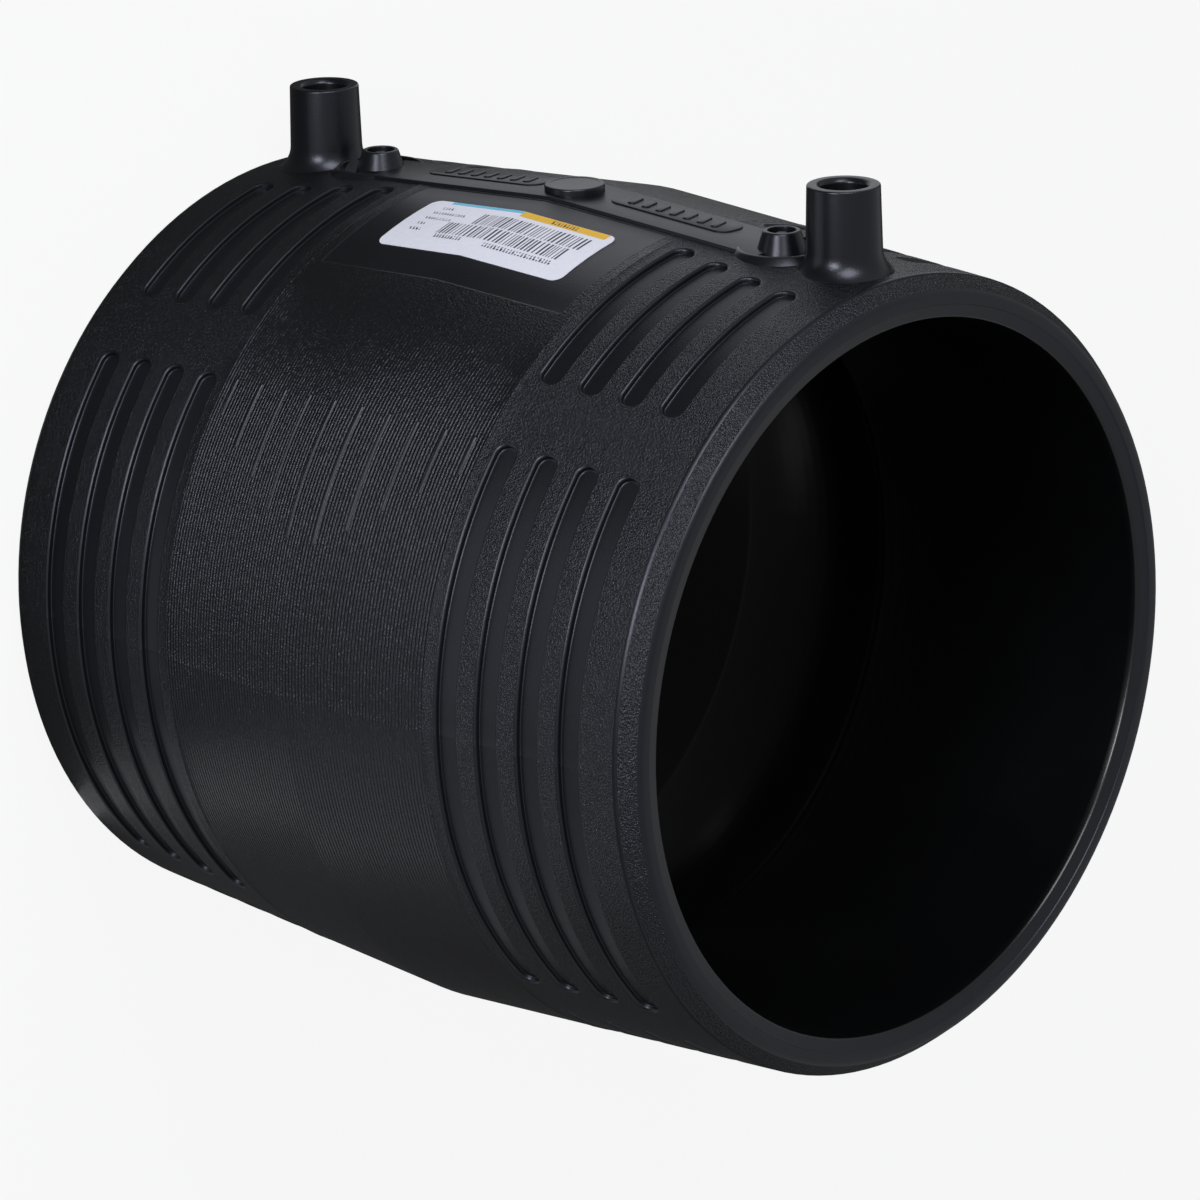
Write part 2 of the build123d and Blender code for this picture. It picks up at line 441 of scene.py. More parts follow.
def rounded(points: Outline, radii: list[float], steps: int = 4) -> Outline:
    """Round the inner corners of an open outline.

    Args:
        points: The outline's corners.
        radii: How far each corner's rounding reaches along its two sides; 0 keeps a corner.
        steps: Spans in each rounding.

    Returns:
        The outline with its corners replaced by arcs.
    """
    result: Outline = []
    for index, point in enumerate(points):
        reach = radii[index]
        if not reach:
            result.append(point)
            continue
        corner = Vector(point)
        before = corner + (Vector(points[index - 1]) - corner).normalized() * reach
        after = corner + (Vector(points[index + 1]) - corner).normalized() * reach
        for step in range(steps + 1):
            t = step / steps
            spot = before * (1 - t) ** 2 + corner * (2 * t * (1 - t)) + after * t**2
            result.append((spot.x, spot.y))
    return result


def lathe(
    bm: bmesh.types.BMesh, outline: Outline, place: Matrix, spans: int = 72, skin: Skin = Skin.SMOOTH
) -> None:
    """Spin a closed profile, given from axis to axis, and add it to a mesh.

    Args:
        bm: The mesh to add to.
        outline: Radius and height of each point.
        place: Where the turned shape goes.
        spans: Spans round the turn.
        skin: Its surface.
    """
    part = bmesh.new()
    ring = [part.verts.new((radius, 0.0, height)) for radius, height in outline]
    edges = [part.edges.new(pair) for pair in zip(ring, ring[1:])]
    bmesh.ops.spin(
        part,
        geom=ring + edges,
        cent=(0, 0, 0),
        axis=(0, 0, 1),
        angle=2 * math.pi,
        steps=spans,
        use_merge=True,
    )
    bmesh.ops.remove_doubles(part, verts=part.verts, dist=1e-4)
    bmesh.ops.recalc_face_normals(part, faces=part.faces)
    for face in part.faces:
        face.material_index = skin.value
    merge(bm, part, place)


def merge(bm: bmesh.types.BMesh, part: bmesh.types.BMesh, place: Matrix) -> None:
    """Add one mesh to another.

    Args:
        bm: The mesh that grows.
        part: The mesh to add. It is freed.
        place: Where it goes.
    """
    bmesh.ops.transform(part, matrix=place, verts=part.verts)
    if place.determinant() < 0:
        bmesh.ops.reverse_faces(part, faces=part.faces)
    carrier = bpy.data.meshes.new("carrier")
    part.to_mesh(carrier)
    part.free()
    bm.from_mesh(carrier)
    bpy.data.meshes.remove(carrier)


# ---------------------------------------------------------------- the barrel, flat and rolled


@dataclass
class Barrel:
    """Main form of the coupler: a sleeve whose outside tapers from the middle to both ends."""

    half: float = (CAD_BOX[1][2] - CAD_BOX[0][2]) / 2 / MM
    mid_r: float = CAD_BOX[1][0] / MM
    end_r: float = 90.4
    chamfer: float = 4.45
    ring_outer: float = 86.9
    ring_inner: float = 84.2
    ring_step: float = 0.34
    mouth_r: float = 81.0
    socket_r: float = 80.6
    stop_r: float = 79.9
    stop_half: float = 20.0
    flat_r: float = 94.0
    seam_phi: float = 137.9
    step_phi: float = 2.5

    def radius(self, z: float) -> float:
        """Outer radius of the lands.

        Args:
            z: Height from the middle plane.

        Returns:
            The radius.
        """
        slope = (self.mid_r - self.end_r) / (self.half - self.chamfer)
        return self.mid_r - slope * abs(z)

    def along(self, phi: float) -> float:
        """Where an angle lies on the flat sheet.

        Args:
            phi: Angle from the terminals, in degrees, towards the label.

        Returns:
            Distance along the sheet.
        """
        return math.radians(phi) * self.flat_r

    def roll(self, bm: bmesh.types.BMesh) -> None:
        """Roll flat sheet geometry up into the barrel, in metres.

        Args:
            bm: Flat geometry: x round the barrel, y along it, z outwards from the lands.
        """
        for vert in bm.verts:
            phi = vert.co.x / self.flat_r
            radius = self.radius(vert.co.y) + vert.co.z
            vert.co = Vector((-radius * math.cos(phi), -radius * math.sin(phi), self.half + vert.co.y)) * MM

    def slice_round(
        self, bm: bmesh.types.BMesh, low: float, high: float, extra: list[float] | None = None
    ) -> None:
        """Cut flat geometry across so that it can bend.

        Args:
            bm: Flat geometry.
            low: First angle of the stretch to cut.
            high: Last angle of it.
            extra: Further angles to cut at.
        """
        count = round((high - low) / self.step_phi)
        cuts = [low + (high - low) * index / count for index in range(1, count)] + (extra or [])
        for phi in sorted(cuts):
            bmesh.ops.bisect_plane(
                bm,
                geom=[*bm.verts, *bm.edges, *bm.faces],
                dist=1e-3,
                plane_co=(self.along(phi), 0, 0),
                plane_no=(1, 0, 0),
            )

    def outward(self, z: float) -> Matrix:
        """Placement of a turned shape on the terminals' side: its axis points outwards.

        Args:
            z: Height from the middle plane.

        Returns:
            The placement, from millimetres to metres.
        """
        turn = Matrix(((0, 0, -1, 0), (0, 1, 0, 0), (1, 0, 0, 0), (0, 0, 0, 1)))
        return Matrix.Translation((0, 0, (self.half + z) * MM)) @ Matrix.Scale(MM, 4) @ turn


@dataclass
class Sunk:
    """A rounded field sunk into, or raised from, the flat sheet."""

    low_phi: float
    high_phi: float
    centre: float
    width: float
    corner: float
    profile: list[tuple[float, float]]
    rim_skin: Skin = Skin.SMOOTH
    floor_skin: Skin = Skin.SMOOTH
    arc: int = 5

    def draw(self, bm: bmesh.types.BMesh, barrel: Barrel) -> bmesh.types.BMFace:
        """Draw the field's outline as one face.

        Args:
            bm: The flat sheet.
            barrel: The barrel that it belongs to.

        Returns:
            The face.
        """
        low = barrel.along(self.low_phi)
        high = barrel.along(self.high_phi)
        reach = (high - low) / 2 - self.corner
        side = self.width / 2 - self.corner
        spin = Matrix.Rotation(math.pi / (4 * self.arc), 4, "Z")
        made = bmesh.ops.create_circle(
            bm, cap_ends=True, radius=self.corner, segments=4 * self.arc, matrix=spin
        )["verts"]
        for vert in made:
            vert.co.x += math.copysign(reach, vert.co.x) + (low + high) / 2
            vert.co.y += math.copysign(side, vert.co.y) + self.centre
        face = made[0].link_faces[0]
        face.normal_update()
        if face.normal.z < 0:
            face.normal_flip()
        return face

    def shape(self, bm: bmesh.types.BMesh, face: bmesh.types.BMFace) -> None:
        """Sink or raise the face in steps, which leaves its rim behind as rings.

        Args:
            bm: The flat sheet.
            face: The face that was drawn.
        """
        for index, (inset, depth) in enumerate(self.profile):
            rings = bmesh.ops.inset_individual(
                bm, faces=[face], thickness=inset, depth=depth, use_even_offset=True
            )["faces"]
            for ring in rings:
                ring.material_index = self.rim_skin.value if index else Skin.LAND.value
        face.material_index = self.floor_skin.value


@dataclass
class GrooveField:
    """The cooling grooves: four rows at each end, in five groups round the barrel."""

    first: float = 81.5
    pitch: float = 11.45
    rows: int = 4
    width: float = 6.1
    starts: tuple[float, ...] = (11.4, 10.4, 9.0, 7.8)
    upper_end: float = 39.6
    front: tuple[float, float] = (49.3, 133.0)
    back: tuple[float, float] = (142.8, 217.2)
    profile: tuple[tuple[float, float], ...] = (
        (0.08, 0.0),
        (0.10, 0.0),
        (0.16, -0.06),
        (0.22, -0.13),
        (0.12, -0.12),
        (0.05, -0.42),
        (0.06, -0.42),
        (0.10, -0.09),
        (0.24, -0.04),
        (0.60, -0.02),
    )
    margin: float = 0.45
    land_r: float = 94.0

    def fields(self) -> list[Sunk]:
        """List every groove.

        Returns:
            The grooves as sunk fields.
        """
        result = []
        for row in range(self.rows):
            z = self.first - row * self.pitch
            start = self.starts[row]
            spans = [
                (start, self.upper_end),
                self.front,
                (self.back[0] - 360, self.back[1] - 360),
                (-self.front[1], -self.front[0]),
                (-self.upper_end, -start),
            ]
            for low, high in spans:
                for side in (z, -z):
                    result.append(self._groove(low, high, side))
        return result

    def _groove(self, low: float, high: float, z: float) -> Sunk:
        """One groove.

        Args:
            low: Angle where it starts.
            high: Angle where it ends.
            z: Its height from the middle plane.

        Returns:
            The groove.
        """
        spread = math.degrees(self.margin / self.land_r)
        width = self.width + 2 * self.margin
        return Sunk(low - spread, high + spread, z, width, width / 2 - 0.1, list(self.profile), Skin.SMOOTH)


@dataclass
class LengthMarks:
    """Raised dashes below the label, longest at the middle."""

    pitch: float = 8.3
    start: float = 49.3
    ends: tuple[float, ...] = (69.3, 66.4, 62.6, 59.1, 55.3)
    width: float = 1.5
    profile: tuple[tuple[float, float], ...] = ((0.2, 0.0), (0.12, 0.06), (0.10, 0.14), (0.10, 0.08))

    def fields(self) -> list[Sunk]:
        """List every dash.

        Returns:
            The dashes as raised fields.
        """
        result = []
        rim = list(self.profile)
        for index, end in enumerate(self.ends):
            z = (index + 0.5) * self.pitch
            for side in (z, -z):
                dash = Sunk(self.start, end, side, self.width, 0.6, rim, Skin.SMOOTH, Skin.SMOOTH, 3)
                result.append(dash)
        return result


@dataclass
class Moulding:
    """The coupler's body: one injection moulding."""

    barrel: Barrel
    grooves: GrooveField = field(default_factory=GrooveField)
    marks: LengthMarks = field(default_factory=LengthMarks)
    sheet_half: float = 90.0
    insert_z: float = 40.7
    line_width: float = 0.22
    line_rise: float = 0.10
    parting_phi: tuple[float, ...] = (90.0, -90.0)
    parting_rise: float = 0.07
    field_half: float = 38.0
    field_phi: tuple[float, float] = (5.4, 28.4)
    indicator_z: float = 62.8
    terminal_z: float = 81.0
    terminal_top: float = 109.8
    strip_half: float = 8.5

    def build(self) -> bpy.types.Object:
        """Make the whole moulding as one piece.

        Returns:
            The piece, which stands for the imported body.
        """
        bm = self._wall()
        for z in (self.terminal_z, -self.terminal_z):
            self._shroud(bm, z)
        for z in (self.indicator_z, -self.indicator_z):
            self._pocket(bm, z)
        self._gate_disc(bm)
        self._strip(bm)
        for side in (1, -1):
            self._panel(bm, side)
        piece = put_in_scene(bm, "moulding", Body.FITTING)
        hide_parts("coupler_body")
        return piece

    def _wall(self) -> bmesh.types.BMesh:
        """The sleeve: sheet with its grooves, ends and bore, rolled up and closed.

        Returns:
            The mesh, in metres.
        """
        barrel = self.barrel
        left = barrel.along(barrel.seam_phi - 360)
        right = barrel.along(barrel.seam_phi)
        bm = bmesh.new()
        sunk = self.grooves.fields() + self.marks.fields() + [self._label_field()] + self._pocket_holes()
        faces = [item.draw(bm, barrel) for item in sunk]
        sheet_ends = (-self.sheet_half, self.sheet_half)
        corners = [bm.verts.new((x, y, 0)) for x in (left, right) for y in sheet_ends]
        low_left, top_left, low_right, top_right = corners
        top = bm.edges.new((top_left, top_right))
        low = bm.edges.new((low_left, low_right))
        bm.edges.new((low_left, top_left))
        bm.edges.new((low_right, top_right))
        filled = bmesh.ops.triangle_fill(
            bm, use_beauty=True, use_dissolve=False, edges=bm.edges, normal=(0, 0, 1)
        )
        lands = [item for item in filled["geom"] if isinstance(item, bmesh.types.BMFace)]
        LOG.info("wall: %d lands, %d sunk fields", len(lands), len(faces))
        for item, face in zip(sunk, faces):
            item.shape(bm, face)
        self._cut_along(bm)
        self._sweep_ends(bm, top, low)
        edges = [angle + turn for angle in self.parting_phi for turn in (-0.13, 0.0, 0.13)]
        barrel.slice_round(bm, barrel.seam_phi - 360, barrel.seam_phi, edges)
        self._raise_lines(bm)
        barrel.roll(bm)
        bmesh.ops.remove_doubles(bm, verts=bm.verts, dist=1e-6)
        bmesh.ops.recalc_face_normals(bm, faces=bm.faces)
        return bm

    def _label_field(self) -> Sunk:
        """The shallow smooth field that the label sits in."""
        low, high = self.field_phi
        rim = [(0.25, 0.0), (0.10, -0.03), (0.10, -0.07), (0.10, -0.07), (0.12, -0.03)]
        return Sunk(low, high, 0.0, 2 * self.field_half, 0.9, rim, Skin.SMOOTH, Skin.SMOOTH, 3)

    def _pocket_holes(self) -> list[Sunk]:
        """Round recesses under the indicator pockets, hidden by their rims."""
        reach = math.degrees(9.8 / self.barrel.flat_r)
        return [
            Sunk(-reach, reach, z, 19.6, 9.7, [(0.05, -3.4)], Skin.SMOOTH, Skin.SMOOTH, 9)
            for z in (self.indicator_z, -self.indicator_z)
        ]

    def _cut_along(self, bm: bmesh.types.BMesh) -> None:
        """Cut the sheet along the lines that run round the barrel.

        Args:
            bm: The flat sheet.
        """
        cuts = [0.0]
        for z in (self.insert_z, -self.insert_z):
            cuts += [z - self.line_width, z, z + self.line_width]
        for y in cuts:
            bmesh.ops.bisect_plane(
                bm, geom=[*bm.verts, *bm.edges, *bm.faces], dist=1e-3, plane_co=(0, y, 0), plane_no=(0, 1, 0)
            )
        for face in bm.faces:
            if face.material_index == Skin.LAND.value and abs(face.calc_center_median().y) < self.insert_z:
                face.material_index = Skin.COMBED.value

    def _end_outline(self) -> Outline:
        """Half of the sleeve's section, from the sheet's edge over the end ring into the bore.

        Returns:
            Radius and height of each point.
        """
        barrel = self.barrel
        edge = barrel.half - barrel.chamfer
        corners = [
            (barrel.radius(self.sheet_half), self.sheet_half),
            (barrel.radius(edge), edge),
            (barrel.ring_outer, barrel.half),
            (barrel.ring_inner, barrel.half),
            (barrel.ring_inner - 0.25, barrel.half - barrel.ring_step),
            (barrel.mouth_r, barrel.half - 0.9),
            (barrel.socket_r, barrel.half - 2.7),
            (barrel.socket_r, barrel.stop_half + 1.4),
            (barrel.stop_r, barrel.stop_half),
        ]
        return rounded(corners, [0, 0.6, 0.9, 0.12, 0.12, 0.7, 0.3, 0.7, 0], 4)[1:]

    def _sweep_ends(self, bm: bmesh.types.BMesh, top: bmesh.types.BMEdge, low: bmesh.types.BMEdge) -> None:
        """Carry both edges of the sheet round the end rings and through the bore until they meet.

        Args:
            bm: The flat sheet.
            top: The sheet's upper edge.
            low: The sheet's lower edge.
        """
        for edge, side in ((top, 1), (low, -1)):
            for index, (radius, z) in enumerate(self._end_outline()):
                made = bmesh.ops.extrude_edge_only(bm, edges=[edge])["geom"]
                edge = next(item for item in made if isinstance(item, bmesh.types.BMEdge))
                for vert in edge.verts:
                    vert.co.y = side * z
                    vert.co.z = radius - self.barrel.radius(z)
                for face in edge.link_faces:
                    face.material_index = self._end_skin(radius, z).value
            if side > 0:
                upper = edge
        made = bmesh.ops.bridge_loops(bm, edges=[upper, edge])["faces"]
        for face in made:
            face.material_index = Skin.BORE.value

    def _end_skin(self, radius: float, z: float) -> Skin:
        """Surface of the section at a point.

        Args:
            radius: The point's radius.
            z: Its height.

        Returns:
            The surface.
        """
        if abs(z - self.barrel.half + self.barrel.chamfer) < 0.5:
            return Skin.SMOOTH
        if radius >= self.barrel.ring_outer + 0.4:
            return Skin.LAND
        if radius > self.barrel.mouth_r + 0.2:
            return Skin.SMOOTH
        return Skin.BORE

    def _raise_lines(self, bm: bmesh.types.BMesh) -> None:
        """Raise the witness lines that the mould's inserts and halves leave.

        Args:
            bm: The flat sheet, with its ends.
        """
        partings = [self.barrel.along(phi) for phi in self.parting_phi]
        for vert in bm.verts:
            if abs(vert.co.y) > self.sheet_half + 0.01:
                continue
            if abs(abs(vert.co.y) - self.insert_z) < 0.01 and vert.co.z > -0.01:
                vert.co.z += self.line_rise
            elif any(abs(vert.co.x - x) < 0.02 for x in partings) and vert.co.z > -2.0:
                vert.co.z += self.parting_rise

    def _shroud(self, bm: bmesh.types.BMesh, z: float) -> None:
        """Chimney round a terminal, with the flare at its foot.

        Args:
            bm: The moulding.
            z: Height of the terminal from the middle plane.
        """
        top = self.terminal_top
        corners = [
            (0, 93.8),
            (5.2, 93.8),
            (5.2, top - 0.8),
            (6.0, top),
            (8.1, top),
            (8.45, 95.4),
        ]
        outline = rounded(corners, [0, 0.5, 0.4, 0.3, 0.45, 0], 4)
        for step in range(1, 9):
            angle = math.radians(step * 10)
            outline.append((14.4 - 5.95 * math.cos(angle), 95.4 - 5.9 * math.sin(angle)))
        outline += [(14.0, 88.2), (0, 88.2)]
        lathe(bm, outline, self.barrel.outward(z), 96, Skin.POLISHED)

    def _pocket(self, bm: bmesh.types.BMesh, z: float) -> None:
        """Indicator cone in its round pocket, with the rim round it.

        Args:
            bm: The moulding.
            z: Height of the indicator from the middle plane.
        """
        corners = [
            (0, 91.8),
            (3.15, 91.8),
            (3.15, 96.8),
            (4.15, 96.8),
            (6.4, 90.1),
            (9.3, 90.1),
            (9.3, 93.1),
            (10.1, 93.1),
            (13.4, 89.8),
            (13.8, 88.4),
            (0, 88.4),
        ]
        radii = [0, 0.3, 0.25, 0.4, 0.6, 0.5, 0.25, 0.4, 0, 0, 0]
        lathe(bm, rounded(corners, radii, 4), self.barrel.outward(z), 84, Skin.POLISHED)

    def _gate_disc(self, bm: bmesh.types.BMesh) -> None:
        """Disc over the injection gate, in the middle of the strip.

        Args:
            bm: The moulding.
        """
        corners = [(0, 97.85), (5.6, 97.85), (5.9, 98.0), (6.9, 98.0), (6.9, 95.4), (0, 95.4)]
        lathe(bm, rounded(corners, [0, 0.15, 0.15, 0.45, 0, 0], 4), self.barrel.outward(0), 72, Skin.POLISHED)

    def _strip(self, bm: bmesh.types.BMesh) -> None:
        """Flat-topped pad between the two pockets.

        Args:
            bm: The moulding.
        """
        part = bmesh.new()
        bmesh.ops.create_cube(part, size=2.0)
        whole = [*part.verts, *part.edges, *part.faces]
        bmesh.ops.bisect_plane(part, geom=whole, dist=1e-4, plane_co=(0, 0, 0), plane_no=(1, 0, 0))
        for vert in part.verts:
            vert.co.x *= self.indicator_z
            vert.co.y *= self.strip_half
            top = self.barrel.radius(vert.co.x) + 0.3
            vert.co.z = top if vert.co.z > 0 else 88.0
        sides = [
            edge
            for edge in part.edges
            if abs(abs(edge.verts[0].co.y) - self.strip_half) < 1e-3
            and abs(edge.verts[0].co.y - edge.verts[1].co.y) < 1e-3
            and min(vert.co.z for vert in edge.verts) > 90
        ]
        bmesh.ops.bevel(
            part,
            geom=sides,
            offset=0.35,
            segments=3,
            profile=0.5,
            affect="EDGES",
            material=-1,
            offset_type="OFFSET",
        )
        for face in part.faces:
            face.material_index = Skin.SMOOTH.value
        merge(bm, part, self.barrel.outward(0))

    def _panel(self, bm: bmesh.types.BMesh, side: int) -> None:
        """Low rounded panel on the strip, with plain bars in relief.

        Args:
            bm: The moulding.
            side: 1 for the upper panel, -1 for the lower one.
        """
        tilt = math.atan((self.barrel.mid_r - self.barrel.end_r) / (self.barrel.half - self.barrel.chamfer))
        place = (
            self.barrel.outward(0)
            @ Matrix.Translation((side * 29.0, 2.6, self.barrel.radius(29.0) + 0.25))
            @ Matrix.Rotation(side * tilt, 4, "Y")
        )
        self._plate(bm, place, 18.0, 4.3, 3.4, 0.35)
        for index in range(7):
            at = Matrix.Translation((-12.6 + 4.2 * index, 0, 0.3))
            self._plate(bm, place @ at @ Matrix.Rotation(0.25, 4, "Z"), 0.95, 2.6, 0.8, 0.35)

    @staticmethod
    def _plate(
        bm: bmesh.types.BMesh, place: Matrix, half_x: float, half_y: float, corner: float, rise: float
    ) -> None:
        """Low plate with rounded corners and edges.

        Args:
            bm: The moulding.
            place: Where the plate's underside lies.
            half_x: Half its length.
            half_y: Half its width.
            corner: Radius of its corners.
            rise: How far it stands out.
        """
        part = bmesh.new()
        verts = bmesh.ops.create_circle(
            part, cap_ends=True, radius=corner, segments=24, matrix=Matrix.Rotation(math.pi / 24, 4, "Z")
        )["verts"]
        for vert in verts:
            vert.co.x += math.copysign(half_x - corner, vert.co.x)
            vert.co.y += math.copysign(half_y - corner, vert.co.y)
        face = verts[0].link_faces[0]
        face.normal_update()
        if face.normal.z < 0:
            face.normal_flip()
        for inset, depth in ((0.0005, rise * 0.6), (rise * 0.25, rise * 0.3), (rise * 0.35, rise * 0.1)):
            bmesh.ops.inset_individual(part, faces=[face], thickness=inset, depth=depth, use_even_offset=True)
        bmesh.ops.holes_fill(part, edges=[edge for edge in part.edges if edge.is_boundary], sides=0)
        bmesh.ops.recalc_face_normals(part, faces=part.faces)
        for face in part.faces:
            face.material_index = Skin.SMOOTH.value
        merge(bm, part, place)


# ---------------------------------------------------------------- label


class Ink(Enum):
    """Inks on the label, in the order of its material slots."""

    BLACK = 0
    BLUE = 1
    YELLOW = 2


@dataclass
class Label:
    """White film in its field, with plain bars and two fields of colour."""

    barrel: Barrel
    phi: float = 16.4
    shift: float = 0.7
    length: float = 57.0
    width: float = 21.0
    corner: float = 2.6
    low: float = -0.17
    top: float = -0.02
    ink: float = 0.02
    seed: int = 7

    def build(self) -> list[bpy.types.Object]:
        """Make the film and its print.

        Returns:
            The two pieces.
        """
        return [self._film(), self._print()]

    def _bend(self, bm: bmesh.types.BMesh) -> None:
        """Cut flat geometry for the bend, lay it on the field and roll it.

        Args:
            bm: Flat geometry round the label's centre: x round the barrel, y along it.
        """
        middle = self.barrel.along(self.phi)
        for vert in bm.verts:
            vert.co.x += middle
            vert.co.y += self.shift
        bmesh.ops.bisect_plane(
            bm, geom=[*bm.verts, *bm.edges, *bm.faces], dist=1e-4, plane_co=(0, 0, 0), plane_no=(0, 1, 0)
        )
        self.barrel.slice_round(bm, self.phi - 7.5, self.phi + 7.5)
        self.barrel.roll(bm)

    def _film(self) -> bpy.types.Object:
        """The film, with softly rounded edges.

        Returns:
            The piece.
        """
        bm = bmesh.new()
        verts = bmesh.ops.create_circle(
            bm, cap_ends=True, radius=self.corner, segments=32, matrix=Matrix.Rotation(math.pi / 32, 4, "Z")
        )["verts"]
        for vert in verts:
            vert.co.x += math.copysign(self.width / 2 - self.corner, vert.co.x)
            vert.co.y += math.copysign(self.length / 2 - self.corner, vert.co.y)
            vert.co.z = self.low
        face = verts[0].link_faces[0]
        face.normal_update()
        if face.normal.z < 0:
            face.normal_flip()
        rise = self.top - self.low
        for inset, depth in ((0.0005, rise * 0.7), (0.04, rise * 0.3)):
            bmesh.ops.inset_individual(bm, faces=[face], thickness=inset, depth=depth, use_even_offset=True)
        bmesh.ops.holes_fill(bm, edges=[edge for edge in bm.edges if edge.is_boundary], sides=0)
        self._bend(bm)
        bmesh.ops.recalc_face_normals(bm, faces=bm.faces)
        piece = put_in_scene(bm, "label_film", Body.FITTING)
        piece.data.materials.append(PrintedFilm("film_white", (0.84, 0.85, 0.93, 1.0)).build())
        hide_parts("label")
        return piece

    def _print(self) -> bpy.types.Object:
        """Bars, blocks and bands of ink just above the film.

        Returns:
            The piece.
        """
        bm = bmesh.new()
        draw = random.Random(self.seed)
        edge = -self.width / 2
        self._band(bm, edge + 0.12, edge + 1.3, -22.5, 0.2, Ink.BLUE)
        self._band(bm, edge + 0.12, edge + 2.5, 0.2, 26.2, Ink.YELLOW)
        self._code(bm, draw, edge + 4.0, edge + 8.9, -8.8, 23.5)
        self._code(bm, draw, edge + 9.4, edge + 14.2, -15.0, 22.0)
        self._words(bm, draw, edge + 15.0, edge + 16.5, 1.5, 21.5)
        self._words(bm, draw, edge + 14.6, edge + 16.0, -14.5, -6.5)
        self._words(bm, draw, edge + 0.5, edge + 2.1, 9.5, 17.5)
        rows = ((-22.8, 3.4), (-23.4, 9.5), (-23.6, 8.0), (-23.8, 2.6), (-24.0, 3.4))
        for row, (start, length) in enumerate(rows):
            place = edge + 3.2 + row * 2.5
            self._words(bm, draw, place, place + 0.95, start, start + length)
        for vert in bm.verts:
            vert.co.z = self.top + self.ink
        self._bend(bm)
        piece = put_in_scene(bm, "label_print", Body.FITTING)
        for name, colour in (
            ("ink_black", (0.035, 0.037, 0.05, 1.0)),
            ("ink_blue", (0.16, 0.56, 0.80, 1.0)),
            ("ink_yellow", (0.86, 0.50, 0.03, 1.0)),
        ):
            piece.data.materials.append(PrintedFilm(name, colour, 0.5).build())
        return piece

    @staticmethod
    def _band(bm: bmesh.types.BMesh, x0: float, x1: float, y0: float, y1: float, ink: Ink) -> None:
        """One rectangle of ink.

        Args:
            bm: The print.
            x0: Edge nearest the strip.
            x1: Edge furthest from it.
            y0: Lower end.
            y1: Upper end.
            ink: Its colour.
        """
        verts = bmesh.ops.create_grid(bm, x_segments=1, y_segments=1, size=0.5)["verts"]
        for vert in verts:
            vert.co.x = x0 if vert.co.x < 0 else x1
            vert.co.y = y0 if vert.co.y < 0 else y1
        verts[0].link_faces[0].material_index = ink.value

    def _code(
        self, bm: bmesh.types.BMesh, draw: random.Random, x0: float, x1: float, y0: float, y1: float
    ) -> None:
        """Row of plain bars of mixed width, which encodes nothing.

        Args:
            bm: The print.
            draw: Random numbers.
            x0: Edge of the row nearest the strip.
            x1: Edge furthest from it.
            y0: Lower end.
            y1: Upper end.
        """
        y = y0
        while y < y1:
            bar = draw.choice((0.26, 0.26, 0.40, 0.55))
            self._band(bm, x0, x1, y, y + bar, Ink.BLACK)
            y += bar + draw.choice((0.50, 0.62, 0.85))

    def _words(
        self, bm: bmesh.types.BMesh, draw: random.Random, x0: float, x1: float, y0: float, y1: float
    ) -> None:
        """Row of small blocks in place of small print.

        Args:
            bm: The print.
            draw: Random numbers.
            x0: Edge of the row nearest the strip.
            x1: Edge furthest from it.
            y0: Lower end.
            y1: Upper end.
        """
        y = y0
        while y < y1:
            block = draw.uniform(0.45, 0.75)
            inner = draw.uniform(0.25, 0.6) * (x1 - x0)
            self._band(bm, x0, x0 + inner, y, y + block * 0.45, Ink.BLACK)
            self._band(bm, x1 - inner, x1, y + block * 0.3, y + block, Ink.BLACK)
            y += block + 0.3


# ---------------------------------------------------------------- studio


